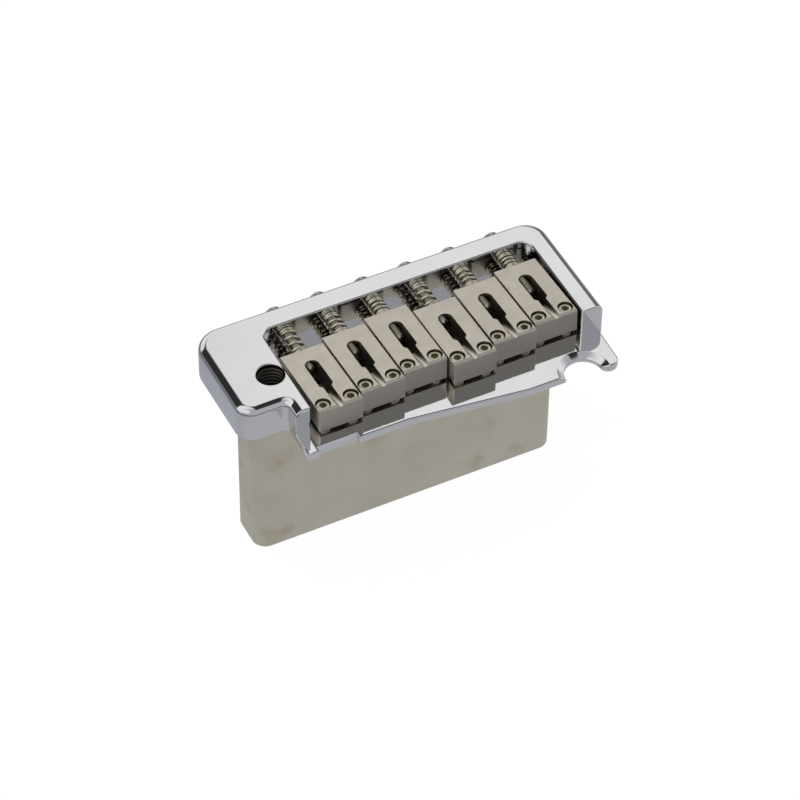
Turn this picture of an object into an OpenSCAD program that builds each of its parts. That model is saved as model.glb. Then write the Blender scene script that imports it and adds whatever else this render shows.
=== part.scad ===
// Two-post guitar tremolo bridge: a chromed frame with six saddles in a bay, bolted to a deep steel block.
// Millimetres. X runs along the row of saddles, from the arm side (treble) to the bass side.
// Y runs from the nut side to the tail. Z is up.
// The origin is on the block's foot, midway between the outer strings, 7.15 mm behind the block's front face.

/* [Strings] */
// Distance between neighbouring strings
string_pitch = 10.8; // [10.5:0.05:11]
// Place of the string holes' row behind the origin (negative is towards the nut)
string_row_y = -3.4; // [-3.6:0.1:-3]
// Diameter of the hole that lets a string through the plate
plate_string_hole = 4.4; // [3.6:0.1:4.8]
// Diameter of the string's channel in the block
string_channel = 2.2; // [1.8:0.1:3]
// Diameter of the pocket for a string's ball end
ball_pocket = 4.4; // [4.2:0.1:4.8]
// Depth of that pocket from the block's foot
ball_pocket_depth = 22; // [12:0.5:26]

/* [Block] */
// Length of the block beyond the outer bass string
block_bass_end = 4.15; // [3.95:0.05:5]
// Wall of the block beyond the arm hole
block_arm_wall = 3.4; // [3.3:0.05:4]
// Place of the block's front face
block_front_y = -7.15; // [-7.4:0.05:-7]
// Depth of the block from nut side to tail side
block_d = 12.1; // [11.8:0.1:13]
// Height of the block
block_h = 39.4; // [35:0.2:44]
// Radius of the block's four upright edges
block_corner_r = 3.3; // [1:0.1:3.6]
// Diameter of the holes that the tremolo springs hook into
hook_hole = 2.6; // [2.2:0.1:3]
// Depth of those holes
hook_hole_depth = 9; // [6:0.5:12]
// Place of their row behind the origin
hook_row_y = 2.2; // [1.8:0.1:2.8]

/* [Frame] */
// Thickness of the base plate
plate_t = 2; // [1.8:0.1:2.6]
// Height of the walls above the plate
wall_h = 6.7; // [6.6:0.1:7.4]
// Room between saddle 1 and the bay's treble side
bay_treble_gap = 1; // [0.7:0.05:1.4]
// Room between saddle 6 and the bay's bass side
bay_bass_gap = 0.6; // [0.5:0.05:1]
// Radius of the bay's two rear corners
bay_corner_r = 2.7; // [1.5:0.1:3.5]
// Place of the rim's inner face behind the origin
bay_back_y = 11.5; // [11.3:0.1:12.3]
// Thickness of the rear rim
rim_t = 5.85; // [5.2:0.05:6]
// Thickness of the wall on the bass side
bass_wall_t = 5.2; // [4.8:0.1:5.6]
// Thickness of the wall on the treble side, ahead of the wing
treble_wall_t = 3.7; // [3.4:0.1:3.9]
// Width of the wing that holds the arm, from that wall's outer face
wing_w = 10.65; // [10.2:0.05:12]
// Place of the wing's front face
wing_front_y = -10.2; // [-10.7:0.1:-9.5]
// Place of the front ends of both walls
wall_front_y = -14.2; // [-15:0.1:-13.6]
// Radius of the frame's rear corner on the treble side
treble_rear_r = 6.3; // [5:0.1:8]
// Radius of the frame's rear corner on the bass side
bass_rear_r = 5.2; // [4.5:0.1:7]
// Radius of the wing's front corner
wing_corner_r = 4; // [3:0.1:5]
// Radius of the hollow corner between the wing and the wall
wing_hollow_r = 1.3; // [1:0.1:1.6]
// Radius of the rounding along the frame's upper outer edge, which runs out at the walls' front faces
edge_r = 1.9; // [1.2:0.1:2]

/* [Pivots] */
// Place of the knife edges (negative is ahead of the origin)
pivot_y = -20; // [-20.2:0.1:-19.7]
// Place of the treble knife edge's middle, in from the treble wall's outer face
treble_pivot_set = 7.3; // [7:0.1:7.6]
// Width of the treble knife edge
treble_pivot_w = 9.5; // [8.5:0.1:10.2]
// Width of the claw, from its outer side to the middle of the bass notch
claw_w = 8.6; // [8.4:0.1:8.8]
// Place of the claw's outer side at its tip, in from the bass wall's outer face
claw_inset = 1.4; // [1.2:0.1:1.7]
// How far out that side flares from the tip to the block
claw_flare = 0.9; // [0.5:0.1:1.1]
// Radius of the bass notch at its lower wall
notch_r = 4.4; // [4.2:0.1:4.6]
// Height of the bevel above each knife edge
bevel_h = 1; // [0.6:0.1:1.2]
// Run of that bevel at the treble edge
treble_bevel = 0.75; // [0.4:0.05:1]
// Run of that bevel round the bass notch
notch_bevel = 1.5; // [1:0.1:1.6]
// Place of the plate's front edge on the treble side
toe_y = -20.8; // [-21.1:0.1:-20.5]
// Place of the plate's front edge on the bass side
lip_y = -24.4; // [-24.7:0.1:-24.1]
// Where the front edge leaves the treble line, along the row
lip_start_x = -13.2; // [-15:0.1:-11]
// Where the front edge meets the bass line, along the row
lip_end_x = 14.6; // [12:0.1:17]
// Radius of the claw's tip
claw_tip_r = 2.2; // [1.9:0.05:2.4]
// Place of the middle of the claw's tip
claw_tip_y = -23.5; // [-23.8:0.1:-23.2]

/* [Arm] */
// Place of the arm hole, in from the wing's outer side
arm_inset = 10.85; // [10.4:0.05:11.1]
// Place of the arm hole behind the origin
arm_y = -1.4; // [-2.3:0.1:-0.7]
// Diameter of the arm hole
arm_hole = 6.2; // [6:0.05:6.4]
// Depth of the arm hole below the top of the frame
arm_hole_depth = 34; // [24:0.5:40]
// Bevel at the mouth of the arm hole
arm_bevel = 0.3; // [0.1:0.05:0.5]

/* [Saddles] */
// Length of a saddle
saddle_len = 19.8; // [19.4:0.1:20.1]
// Gap between neighbouring saddles
saddle_gap = 0.4; // [0.3:0.05:0.6]
// Height of a saddle at its rear
saddle_h = 5.2; // [5.1:0.1:5.3]
// How much deeper a saddle is at its front
saddle_drop = 0.6; // [0:0.05:0.65]
// How far each saddle's front is tilted up
saddle_lean = 3.5; // [2.5:0.1:3.6]
// Height of the saddles' undersides above the plate, at the place they tilt about
saddle_rise = 0.3; // [0.25:0.05:0.4]
// Distance from the rim to the front of saddle 1, the treble one
reach_1 = 27.9; // [24.4:0.05:29.6]
// Distance from the rim to the front of saddle 2
reach_2 = 26.5; // [24.4:0.05:29.6]
// Distance from the rim to the front of saddle 3
reach_3 = 25.2; // [24.4:0.05:29.6]
// Distance from the rim to the front of saddle 4
reach_4 = 27.8; // [24.4:0.05:29.6]
// Distance from the rim to the front of saddle 5
reach_5 = 25.95; // [24.4:0.05:29.6]
// Distance from the rim to the front of saddle 6, the bass one
reach_6 = 24.7; // [24.4:0.05:29.6]
// Width of the string slot
slot_w = 3.3; // [3:0.1:3.5]
// Rear end of the string slot, from the saddle's front
slot_end = 15.9; // [15.6:0.1:16.2]
// Where the slot reaches its full width, from the saddle's front
slot_start = 7.4; // [6.9:0.1:7.9]
// Width of the string groove ahead of the slot
groove_w = 1.8; // [1.4:0.1:2]
// Depth of that groove where it meets the slot
groove_depth = 2.3; // [1.8:0.1:2.8]
// Depth of the groove at the saddle's front
groove_front = 0.5; // [0.4:0.1:1.2]
// Radius of the upper front edge
nose_r = 0.7; // [0.4:0.1:1]

/* [Height screws] */
// Diameter of the height screws
height_screw_d = 3; // [2.8:0.05:3.1]
// Distance between a saddle's two height screws
height_screw_gap = 6.6; // [6.5:0.05:6.7]
// Distance of the height screws behind the saddle's front
height_screw_set = 2.15; // [2.05:0.05:2.4]
// Depth of the screws' upper ends below the saddle's top
height_screw_sink = 0.4; // [0.2:0.05:0.8]
// Width across the flats of their hexagon sockets
height_socket = 1.5; // [1.3:0.1:1.6]
// Room round a height screw in its saddle
height_clear = 0.25; // [0.24:0.01:0.3]

/* [Intonation screws] */
// Diameter of the intonation screws
screw_d = 2.5; // [2.3:0.05:2.6]
// Height of the screws' axis above the plate
screw_rise = 3.5; // [3.3:0.1:3.5]
// Place of the screws' tips behind the origin
screw_tip_y = -1.4; // [-2.2:0.1:-1]
// Diameter of the screws' domed heads
head_d = 4.1; // [3.9:0.1:4.6]
// Height of the heads
head_h = 1.6; // [1.5:0.1:2]
// Height of the heads' straight rim
head_rim = 0.6; // [0.4:0.1:0.8]
// Room round an intonation screw in the rim and in its saddle
screw_clear = 0.25; // [0.2:0.01:0.3]

/* [Springs] */
// Diameter of the spring wire
wire_d = 0.45; // [0.4:0.01:0.48]
// Turns of each spring
spring_turns = 5.5; // [4.5:0.5:5.5]
// Room between the spring and its screw
spring_clear = 0.1; // [0.08:0.01:0.2]

/* [Plate screws] */
// Diameter of the screws that hold the plate to the block
plate_screw_d = 4; // [3.5:0.1:4.4]
// Diameter of their countersunk heads
plate_head_d = 7.2; // [6.6:0.1:7.6]
// Length of the screws
plate_screw_len = 12; // [10:0.5:16]
// Place of their row behind the origin
plate_screw_row_y = 1.9; // [1.5:0.1:2.1]
// Width across the flats of their hexagon sockets
plate_socket = 2.5; // [2:0.1:2.8]

/* [Hidden] */
$fn = 48;
cut = 0.5;
seat_gap = 0.02;
thread_gap = 0.05;

plate_z = block_h;
plate_top = plate_z + plate_t;
frame_top = plate_top + wall_h;
strings = 6;
hooks = strings - 1;
plate_screws = 3;
// The plate screws stand midway between strings, two strings apart
plate_screw_pitch = 2 * string_pitch;
saddles_w = strings * string_pitch - saddle_gap;
bay_treble_x = -saddles_w / 2 - bay_treble_gap;
bay_bass_x = saddles_w / 2 + bay_bass_gap;
bass_side_x = bay_bass_x + bass_wall_t;
treble_side_x = bay_treble_x - treble_wall_t;
wing_side_x = treble_side_x - wing_w;
rear_y = bay_back_y + rim_t;
arm_x = wing_side_x + arm_inset;
claw_x = bass_side_x - claw_inset;
bass_pivot_x = claw_x - claw_w;
treble_pivot_x = treble_side_x + treble_pivot_set;

saddle_w = string_pitch - saddle_gap;
saddle_z = plate_top + saddle_rise;
saddle_top = saddle_z + saddle_h;
screw_z = plate_top + screw_rise;
reaches = [reach_1, reach_2, reach_3, reach_4, reach_5, reach_6];

// A string's place along the row, and its saddle's front before the saddle is tilted
function string_x(n) = (n - (strings + 1) / 2) * string_pitch;
function front_y(n) = bay_back_y - reaches[n - 1];
// A saddle tilts about the middle of its intonation screw's thread
held_len = (saddle_len - slot_end) / 2;
function hinge_y(n) = front_y(n) + saddle_len - held_len;
// Where the tilted saddle's rear face meets the spring's wire
function tail_y(n) = hinge_y(n) + held_len / cos(saddle_lean) + wire_d / 2 * tan(saddle_lean);
// Places of a row of things, spread evenly about the middle of the strings
function row(count, pitch) = [for (k = [0 : count - 1]) (k - (count - 1) / 2) * pitch];
// Radius of a hexagon's corners from the width across its flats
function hex_r(flats) = flats / sqrt(3);

chrome = [0.8, 0.81, 0.83];
nickel = [0.58, 0.56, 0.52];
satin = [0.68, 0.65, 0.6];
steel = [0.62, 0.6, 0.54];

// What a square corner loses when it's rounded; inward points from the corner into the shape
module corner_cut(corner, inward, r) {
    low = [for (k = [0, 1]) inward[k] > 0 ? -cut : -r];
    translate(corner) difference() {
        translate(low) square(r + cut);
        translate(inward * r) circle(r);
    }
}

// Outline of the walls and the wing, seen from above
module wall_outline() {
    difference() {
        union() {
            translate([wing_side_x, wing_front_y])
                square([bass_side_x - wing_side_x, rear_y - wing_front_y]);
            translate([treble_side_x, wall_front_y])
                square([bass_side_x - treble_side_x, rear_y - wall_front_y]);
            translate([treble_side_x - wing_hollow_r, wing_front_y - wing_hollow_r]) difference() {
                square(wing_hollow_r + cut);
                circle(wing_hollow_r);
            }
        }
        corner_cut([bass_side_x, rear_y], [-1, -1], bass_rear_r);
        corner_cut([wing_side_x, rear_y], [1, -1], treble_rear_r);
        corner_cut([wing_side_x, wing_front_y], [1, 1], wing_corner_r);
    }
}

// Outline of the plate ahead of the walls: toe, sloping lip and claw
module lip_outline() {
    polygon([
        [treble_side_x, 0],
        [treble_side_x, toe_y],
        [lip_start_x, toe_y],
        [lip_end_x, lip_y],
        [bass_pivot_x, lip_y],
        [bass_pivot_x, claw_tip_y],
        [claw_x, claw_tip_y],
        [claw_x + claw_flare, 0]
    ]);
    translate([claw_x - claw_tip_r, claw_tip_y]) circle(claw_tip_r);
}

// Opening that the saddles stand in, seen from above; it runs out past the front
module bay_outline() {
    difference() {
        translate([bay_treble_x, lip_y - claw_tip_r - cut])
            square([bay_bass_x - bay_treble_x, bay_back_y - lip_y + claw_tip_r + cut]);
        corner_cut([bay_treble_x, bay_back_y], [1, -1], bay_corner_r);
        corner_cut([bay_bass_x, bay_back_y], [-1, -1], bay_corner_r);
    }
}

// What a rounded upper edge loses: outward is +X, the top face is at 0
module edge_profile() {
    difference() {
        translate([-edge_r, -edge_r]) square(edge_r + cut);
        translate([-edge_r, -edge_r]) circle(edge_r);
    }
}

// The same along a straight edge from a to b, with the outside on the right
module edge_line(a, b) {
    run = b - a;
    translate([a.x, a.y, frame_top])
        rotate([0, 0, atan2(run.y, run.x)])
            rotate([90, 0, 90])
                linear_extrude(norm(run)) mirror([1, 0]) edge_profile();
}

// The same round a corner of radius r, with its middle at m, from angle a over a quarter turn
module edge_corner(m, r, a) {
    translate([m.x, m.y, frame_top])
        rotate([0, 0, a])
            rotate_extrude(angle = 90) translate([r, 0]) edge_profile();
}

// The same in the hollow corner between the wing and the wall
module edge_hollow(m, r) {
    translate([m.x, m.y, frame_top])
        rotate_extrude(angle = 90) translate([r, 0]) mirror([1, 0]) edge_profile();
}

module edge_rounding() {
    bass_rear = [bass_side_x - bass_rear_r, rear_y - bass_rear_r];
    treble_rear = [wing_side_x + treble_rear_r, rear_y - treble_rear_r];
    wing_corner = [wing_side_x + wing_corner_r, wing_front_y + wing_corner_r];
    hollow = [treble_side_x - wing_hollow_r, wing_front_y - wing_hollow_r];
    edge_line([bass_side_x, wall_front_y - cut], [bass_side_x, bass_rear.y]);
    edge_corner(bass_rear, bass_rear_r, 0);
    edge_line([bass_rear.x, rear_y], [treble_rear.x, rear_y]);
    edge_corner(treble_rear, treble_rear_r, 90);
    edge_line([wing_side_x, treble_rear.y], [wing_side_x, wing_corner.y]);
    edge_corner(wing_corner, wing_corner_r, 180);
    edge_line([wing_corner.x, wing_front_y], [hollow.x, wing_front_y]);
    edge_hollow(hollow, wing_hollow_r);
    edge_line([treble_side_x, hollow.y], [treble_side_x, wall_front_y - cut]);
}

// Recess with a bevelled knife edge on the treble side
module treble_pivot_cut() {
    translate([treble_pivot_x - treble_pivot_w / 2, 0, 0])
        rotate([90, 0, 90])
            linear_extrude(treble_pivot_w)
                polygon([
                    [toe_y - cut, plate_z - cut],
                    [pivot_y, plate_z - cut],
                    [pivot_y, plate_top - bevel_h],
                    [pivot_y + treble_bevel, plate_top],
                    [pivot_y + treble_bevel, plate_top + cut],
                    [toe_y - cut, plate_top + cut]
                ]);
}

// Round notch with a bevelled knife edge on the bass side
module bass_pivot_cut() {
    bevel_slope = notch_bevel / bevel_h;
    translate([bass_pivot_x, pivot_y - notch_r, 0]) {
        translate([0, 0, plate_z - cut]) cylinder(r = notch_r, h = plate_t + 2 * cut);
        translate([0, 0, plate_top - bevel_h])
            cylinder(r1 = notch_r, r2 = notch_r + notch_bevel + bevel_slope * cut, h = bevel_h + cut);
    }
}

// Countersunk hole for a plate screw, with its mouth at height 0
module countersink() {
    hole_r = plate_screw_d / 2 + thread_gap;
    mouth_r = plate_head_d / 2 + thread_gap;
    cone_h = (plate_head_d - plate_screw_d) / 2;
    translate([0, 0, -plate_t - cut]) cylinder(r = hole_r, h = plate_t + 2 * cut);
    translate([0, 0, -cone_h]) cylinder(r1 = hole_r, r2 = mouth_r + cut, h = cone_h + cut);
}

module bridge_frame() {
    color(chrome) difference() {
        union() {
            translate([0, 0, plate_z]) linear_extrude(plate_t + wall_h) wall_outline();
            translate([0, 0, plate_z]) linear_extrude(plate_t) lip_outline();
        }
        translate([0, 0, plate_top]) linear_extrude(wall_h + cut) bay_outline();
        edge_rounding();
        treble_pivot_cut();
        bass_pivot_cut();
        translate([arm_x, arm_y, 0]) {
            translate([0, 0, plate_z - cut]) cylinder(d = arm_hole, h = plate_t + wall_h + 2 * cut);
            translate([0, 0, frame_top - arm_bevel])
                cylinder(d1 = arm_hole, d2 = arm_hole + 2 * (arm_bevel + cut), h = arm_bevel + cut);
        }
        for (n = [1 : strings]) {
            translate([string_x(n), rear_y + cut, screw_z])
                rotate([90, 0, 0]) cylinder(r = screw_d / 2 + screw_clear, h = rim_t + 2 * cut);
            translate([string_x(n), string_row_y, plate_z - cut])
                cylinder(d = plate_string_hole, h = plate_t + 2 * cut);
        }
        for (x = row(plate_screws, plate_screw_pitch))
            translate([x, plate_screw_row_y, plate_top]) countersink();
    }
}

module sustain_block() {
    treble_end = arm_x - arm_hole / 2 - block_arm_wall;
    bass_end = string_x(strings) + block_bass_end;
    back_y = block_front_y + block_d;
    color(nickel) difference() {
        linear_extrude(block_h) difference() {
            translate([treble_end, block_front_y]) square([bass_end - treble_end, block_d]);
            corner_cut([treble_end, block_front_y], [1, 1], block_corner_r);
            corner_cut([bass_end, block_front_y], [-1, 1], block_corner_r);
            corner_cut([treble_end, back_y], [1, -1], block_corner_r);
            corner_cut([bass_end, back_y], [-1, -1], block_corner_r);
        }
        for (n = [1 : strings]) translate([string_x(n), string_row_y, -cut]) {
            cylinder(d = string_channel, h = block_h + 2 * cut);
            cylinder(d = ball_pocket, h = ball_pocket_depth + cut);
        }
        for (x = row(hooks, string_pitch))
            translate([x, hook_row_y, -cut]) cylinder(d = hook_hole, h = hook_hole_depth + cut);
        for (x = row(plate_screws, plate_screw_pitch))
            translate([x, plate_screw_row_y, plate_top - plate_screw_len - cut])
                cylinder(r = plate_screw_d / 2 + thread_gap, h = plate_screw_len + cut);
        translate([arm_x, arm_y, frame_top - arm_hole_depth]) cylinder(d = arm_hole, h = arm_hole_depth);
    }
}

module block_screws() {
    head_cone = (plate_head_d - plate_screw_d) / 2;
    color(steel)
        for (x = row(plate_screws, plate_screw_pitch))
            translate([x, plate_screw_row_y, plate_top - plate_screw_len]) difference() {
                union() {
                    cylinder(d = plate_screw_d, h = plate_screw_len - head_cone);
                    translate([0, 0, plate_screw_len - head_cone])
                        cylinder(d1 = plate_screw_d, d2 = plate_head_d, h = head_cone);
                }
                translate([0, 0, plate_screw_len - head_cone])
                    cylinder(r = hex_r(plate_socket), h = head_cone + cut, $fn = 6);
            }
}

// String slot of a saddle, seen from above, with the saddle's front at 0
module slot_outline() {
    shoulder = (slot_w - groove_w) / 2;
    translate([0, slot_end - slot_w / 2]) circle(slot_w / 2);
    polygon([
        [-slot_w / 2, slot_end - slot_w / 2],
        [-slot_w / 2, slot_start],
        [-groove_w / 2, slot_start - shoulder],
        [groove_w / 2, slot_start - shoulder],
        [slot_w / 2, slot_start],
        [slot_w / 2, slot_end - slot_w / 2]
    ]);
}

// Tilts a saddle, or what it carries, so that its front stands up
module leaned(n) {
    translate([0, hinge_y(n), screw_z])
        rotate([-saddle_lean, 0, 0])
            translate([0, -hinge_y(n), -screw_z]) children();
}

module saddle(n) {
    groove_dip = atan((groove_depth - groove_front) / slot_start);
    foot_z = saddle_z - saddle_drop - cut;
    saddle_cut_h = saddle_top - foot_z + cut;
    color(satin) leaned(n) translate([string_x(n), front_y(n), 0]) difference() {
        translate([-saddle_w / 2, 0, 0]) rotate([90, 0, 90]) linear_extrude(saddle_w) difference() {
            polygon([
                [0, saddle_z - saddle_drop],
                [saddle_len, saddle_z],
                [saddle_len, saddle_top],
                [0, saddle_top]
            ]);
            corner_cut([0, saddle_top], [1, -1], nose_r);
        }
        translate([0, 0, foot_z]) linear_extrude(saddle_cut_h) slot_outline();
        translate([0, 0, saddle_top - groove_front]) rotate([-groove_dip, 0, 0]) {
            translate([-groove_w / 2, -cut, groove_w / 2]) cube([groove_w, slot_start + cut, groove_depth]);
            translate([0, -cut, groove_w / 2])
                rotate([-90, 0, 0]) cylinder(d = groove_w, h = slot_start + cut);
        }
        for (side = [-1, 1])
            translate([side * height_screw_gap / 2, height_screw_set, foot_z])
                cylinder(r = height_screw_d / 2 + height_clear, h = saddle_cut_h);
        translate([0, slot_end - slot_w / 2, screw_z])
            rotate([-90, 0, 0]) cylinder(r = screw_d / 2 + screw_clear, h = saddle_len - slot_end + slot_w);
    }
}

// One of a saddle's two height screws, standing on the plate; side is -1 for treble, 1 for bass
module height_screw(n, side) {
    r = height_screw_d / 2;
    bevel = 0.35;
    socket_depth = 1.6;
    // The tilted foot's low side stands on the plate
    foot_rise = seat_gap + (r - bevel) * sin(saddle_lean);
    hinge_run = saddle_len - held_len - height_screw_set;
    foot_drop = (screw_rise - foot_rise + hinge_run * sin(saddle_lean)) / cos(saddle_lean);
    screw_len = saddle_top - height_screw_sink - screw_z + foot_drop;
    color(steel)
        leaned(n) translate([
            string_x(n) + side * height_screw_gap / 2,
            front_y(n) + height_screw_set,
            screw_z - foot_drop
        ])
            difference() {
                rotate_extrude() polygon([
                    [0, 0],
                    [r - bevel, 0],
                    [r, bevel],
                    [r, screw_len - bevel],
                    [r - bevel, screw_len],
                    [0, screw_len]
                ]);
                translate([0, 0, screw_len - socket_depth])
                    cylinder(r = hex_r(height_socket), h = socket_depth + cut, $fn = 6);
            }
}

module intonation_screw(n) {
    tip_bevel = 0.4;
    dome_rise = head_h - head_rim;
    dome_r = (head_d * head_d / 4 + dome_rise * dome_rise) / (2 * dome_rise);
    recess_w = 0.7;
    recess_len = 2.7;
    recess_depth = 0.8;
    shank_len = rear_y + seat_gap - screw_tip_y;
    color(steel)
        translate([string_x(n), screw_tip_y, screw_z]) rotate([-90, 0, 0]) difference() {
            union() {
                cylinder(d1 = screw_d - 2 * tip_bevel, d2 = screw_d, h = tip_bevel);
                translate([0, 0, tip_bevel]) cylinder(d = screw_d, h = shank_len - tip_bevel);
                translate([0, 0, shank_len]) intersection() {
                    cylinder(d = head_d, h = head_h);
                    translate([0, 0, head_h - dome_r]) sphere(dome_r);
                }
            }
            translate([0, 0, shank_len + head_h - recess_depth]) {
                translate([-recess_len / 2, -recess_w / 2, 0]) cube([recess_len, recess_w, head_h]);
                translate([-recess_w / 2, -recess_len / 2, 0]) cube([recess_w, recess_len, head_h]);
            }
        }
}

// Springs: one unbroken wire each, wound round its screw, with a short straight end at each face
rings_per_turn = 8;
wire_sides = 6;
// The chords between rings cut inside the true circle, so the circle is larger by this share
coil_r = (screw_d / 2 + spring_clear + wire_d / 2) / cos(180 / rings_per_turn);

function spring_len(n) = bay_back_y - tail_y(n);
function coil_pitch(n) = (spring_len(n) - 2 * wire_d) / spring_turns;
// A point of the coil t turns from the saddle, about the screw's axis, from the saddle's rear face
function coil_point(n, t) =
    [coil_r * cos(360 * t), wire_d + t * coil_pitch(n), coil_r * sin(360 * t)];
function coil_out(t) = [cos(360 * t), 0, sin(360 * t)];
coil_steps = spring_turns * rings_per_turn;
function wire_points(n) = concat(
    [coil_point(n, 0) - [0, wire_d, 0]],
    [for (k = [0 : coil_steps]) coil_point(n, k / rings_per_turn)],
    [coil_point(n, spring_turns) + [0, wire_d, 0]]
);
wire_outs = concat(
    [coil_out(0)],
    [for (k = [0 : coil_steps]) coil_out(k / rings_per_turn)],
    [coil_out(spring_turns)]
);
function unit(v) = v / norm(v);
function wire_run(p, k) =
    k == 0 ? unit(p[1] - p[0]) :
    k == len(p) - 1 ? unit(p[k] - p[k - 1]) :
    unit(unit(p[k + 1] - p[k]) + unit(p[k] - p[k - 1]));
function wire_ring(p, k) =
    let (run = wire_run(p, k),
         side = unit(wire_outs[k] - run * (wire_outs[k] * run)),
         up = cross(run, side))
    [for (s = [0 : wire_sides - 1])
        p[k] + wire_d / 2 * (side * cos(360 * s / wire_sides) + up * sin(360 * s / wire_sides))];

module intonation_spring(n) {
    p = wire_points(n);
    last = len(p) - 1;
    corner = function(k, s) k * wire_sides + s % wire_sides;
    skin = [for (k = [0 : last - 1], s = [0 : wire_sides - 1])
        each [
            [corner(k, s), corner(k + 1, s), corner(k, s + 1)],
            [corner(k, s + 1), corner(k + 1, s), corner(k + 1, s + 1)]
        ]];
    near_cap = [for (s = [1 : wire_sides - 2]) [corner(0, 0), corner(0, s), corner(0, s + 1)]];
    far_cap = [for (s = [1 : wire_sides - 2])
        [corner(last, 0), corner(last, s + 1), corner(last, s)]];
    color(steel)
        translate([string_x(n), tail_y(n), screw_z])
            polyhedron(
                points = [for (k = [0 : last]) each wire_ring(p, k)],
                faces = concat(skin, near_cap, far_cap)
            );
}

// Least gap of a spring's wire to itself: between points of its middle line half a turn apart or more
probes_per_turn = 24;
function wire_gap(n) =
    let (q = [for (k = [0 : spring_turns * probes_per_turn]) coil_point(n, k / probes_per_turn)])
    min([for (a = [0 : len(q) - 1])
        for (b = [a + probes_per_turn / 2 : 1 : len(q) - 1]) norm(q[b] - q[a])]) - wire_d;
echo(least_wire_gap_mm = [for (n = [1 : strings]) wire_gap(n)]);
echo(curls_in_all = strings * spring_turns);

bridge_frame();
sustain_block();
block_screws();
saddle(1);  // saddle_1
saddle(2);  // saddle_2
saddle(3);  // saddle_3
saddle(4);  // saddle_4
saddle(5);  // saddle_5
saddle(6);  // saddle_6
height_screw(1, -1);  // height_screw_1_treble
height_screw(1, 1);  // height_screw_1_bass
height_screw(2, -1);  // height_screw_2_treble
height_screw(2, 1);  // height_screw_2_bass
height_screw(3, -1);  // height_screw_3_treble
height_screw(3, 1);  // height_screw_3_bass
height_screw(4, -1);  // height_screw_4_treble
height_screw(4, 1);  // height_screw_4_bass
height_screw(5, -1);  // height_screw_5_treble
height_screw(5, 1);  // height_screw_5_bass
height_screw(6, -1);  // height_screw_6_treble
height_screw(6, 1);  // height_screw_6_bass
intonation_screw(1);  // intonation_screw_1
intonation_screw(2);  // intonation_screw_2
intonation_screw(3);  // intonation_screw_3
intonation_screw(4);  // intonation_screw_4
intonation_screw(5);  // intonation_screw_5
intonation_screw(6);  // intonation_screw_6
intonation_spring(1);  // intonation_spring_1
intonation_spring(2);  // intonation_spring_2
intonation_spring(3);  // intonation_spring_3
intonation_spring(4);  // intonation_spring_4
intonation_spring(5);  // intonation_spring_5
intonation_spring(6);  // intonation_spring_6
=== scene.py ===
"""Looks of a two-post guitar tremolo bridge: chromed frame, six satin saddles on sprung screws, nickel block.

Metres throughout, in the frame's own axes: X runs along the row of saddles from treble to bass, Y towards the
tail, Z up.
"""

import math

import bmesh
import bpy
from mathutils import Matrix, Vector
from mathutils.bvhtree import BVHTree


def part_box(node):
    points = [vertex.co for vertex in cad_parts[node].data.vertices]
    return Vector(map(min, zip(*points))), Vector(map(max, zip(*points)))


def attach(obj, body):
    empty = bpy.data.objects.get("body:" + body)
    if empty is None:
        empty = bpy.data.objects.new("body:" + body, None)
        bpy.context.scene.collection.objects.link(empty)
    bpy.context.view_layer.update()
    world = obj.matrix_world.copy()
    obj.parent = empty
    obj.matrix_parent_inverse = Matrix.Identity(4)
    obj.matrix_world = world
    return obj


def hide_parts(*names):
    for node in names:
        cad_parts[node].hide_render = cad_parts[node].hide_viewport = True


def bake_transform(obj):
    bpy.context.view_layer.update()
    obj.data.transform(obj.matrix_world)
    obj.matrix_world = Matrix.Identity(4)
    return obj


MM = 0.001
STRINGS = 6

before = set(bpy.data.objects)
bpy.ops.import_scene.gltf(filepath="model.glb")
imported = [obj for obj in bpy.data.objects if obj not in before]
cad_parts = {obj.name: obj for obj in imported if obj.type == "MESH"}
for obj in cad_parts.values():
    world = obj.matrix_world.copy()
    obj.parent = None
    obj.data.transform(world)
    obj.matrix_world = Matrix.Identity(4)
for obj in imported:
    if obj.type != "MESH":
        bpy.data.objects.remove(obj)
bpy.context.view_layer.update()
scene = bpy.context.scene


# ---------------------------------------------------------------- sizes shared with the solids
LEAN = math.radians(3.5)
UPRIGHT = Vector((0, math.sin(LEAN), math.cos(LEAN)))
BACKWARDS = Vector((0, 1, 0))

PLATE_T = 2.0 * MM
WALL_FRONT_Y = -14.2 * MM
ARM = Vector((-36.7, -1.4)) * MM
BASS_PIVOT = Vector((28.0, -24.4)) * MM
TREBLE_PIVOT = Vector((-29.6, -20.0)) * MM
NOTCH_RADII = (4.4 * MM, 5.9 * MM)
BAY_MIDDLE_X = -0.2 * MM
BAY_HALF_WIDTH = 33.0 * MM
BLOCK_HALF_WIDTH = 31.5 * MM
BLOCK_Y = (-8 * MM, 6 * MM)
KNIFE_HALF_WIDTH = 4.8 * MM
KNIFE_Y = (-21 * MM, -19 * MM)
FRAME_LOW, FRAME_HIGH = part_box("bridge_frame")

# Roundings of the sharp edges
PLATE_EDGE = 0.35 * MM
UNDERSIDE_EDGE = 0.2 * MM
PIVOT_EDGE = 0.1 * MM
WALL_EDGE = 0.25 * MM
WALL_INNER_EDGE = 0.5 * MM
BAY_EDGE = 0.3 * MM
BLOCK_EDGE = 0.3 * MM
SADDLE_EDGE = 0.15 * MM
SADDLE_SHORT_EDGE = 2.5 * MM

HEIGHT_SCREW_R = 1.5 * MM
HEIGHT_COLLAR_R = 1.62 * MM
HEIGHT_COLLAR_H = 0.42 * MM
HEIGHT_THREAD = 0.5 * MM
HEIGHT_THREAD_H = 0.28 * MM
HEIGHT_SOCKET = 1.5 * MM
HEIGHT_SOCKET_DEPTH = 1.6 * MM

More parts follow.
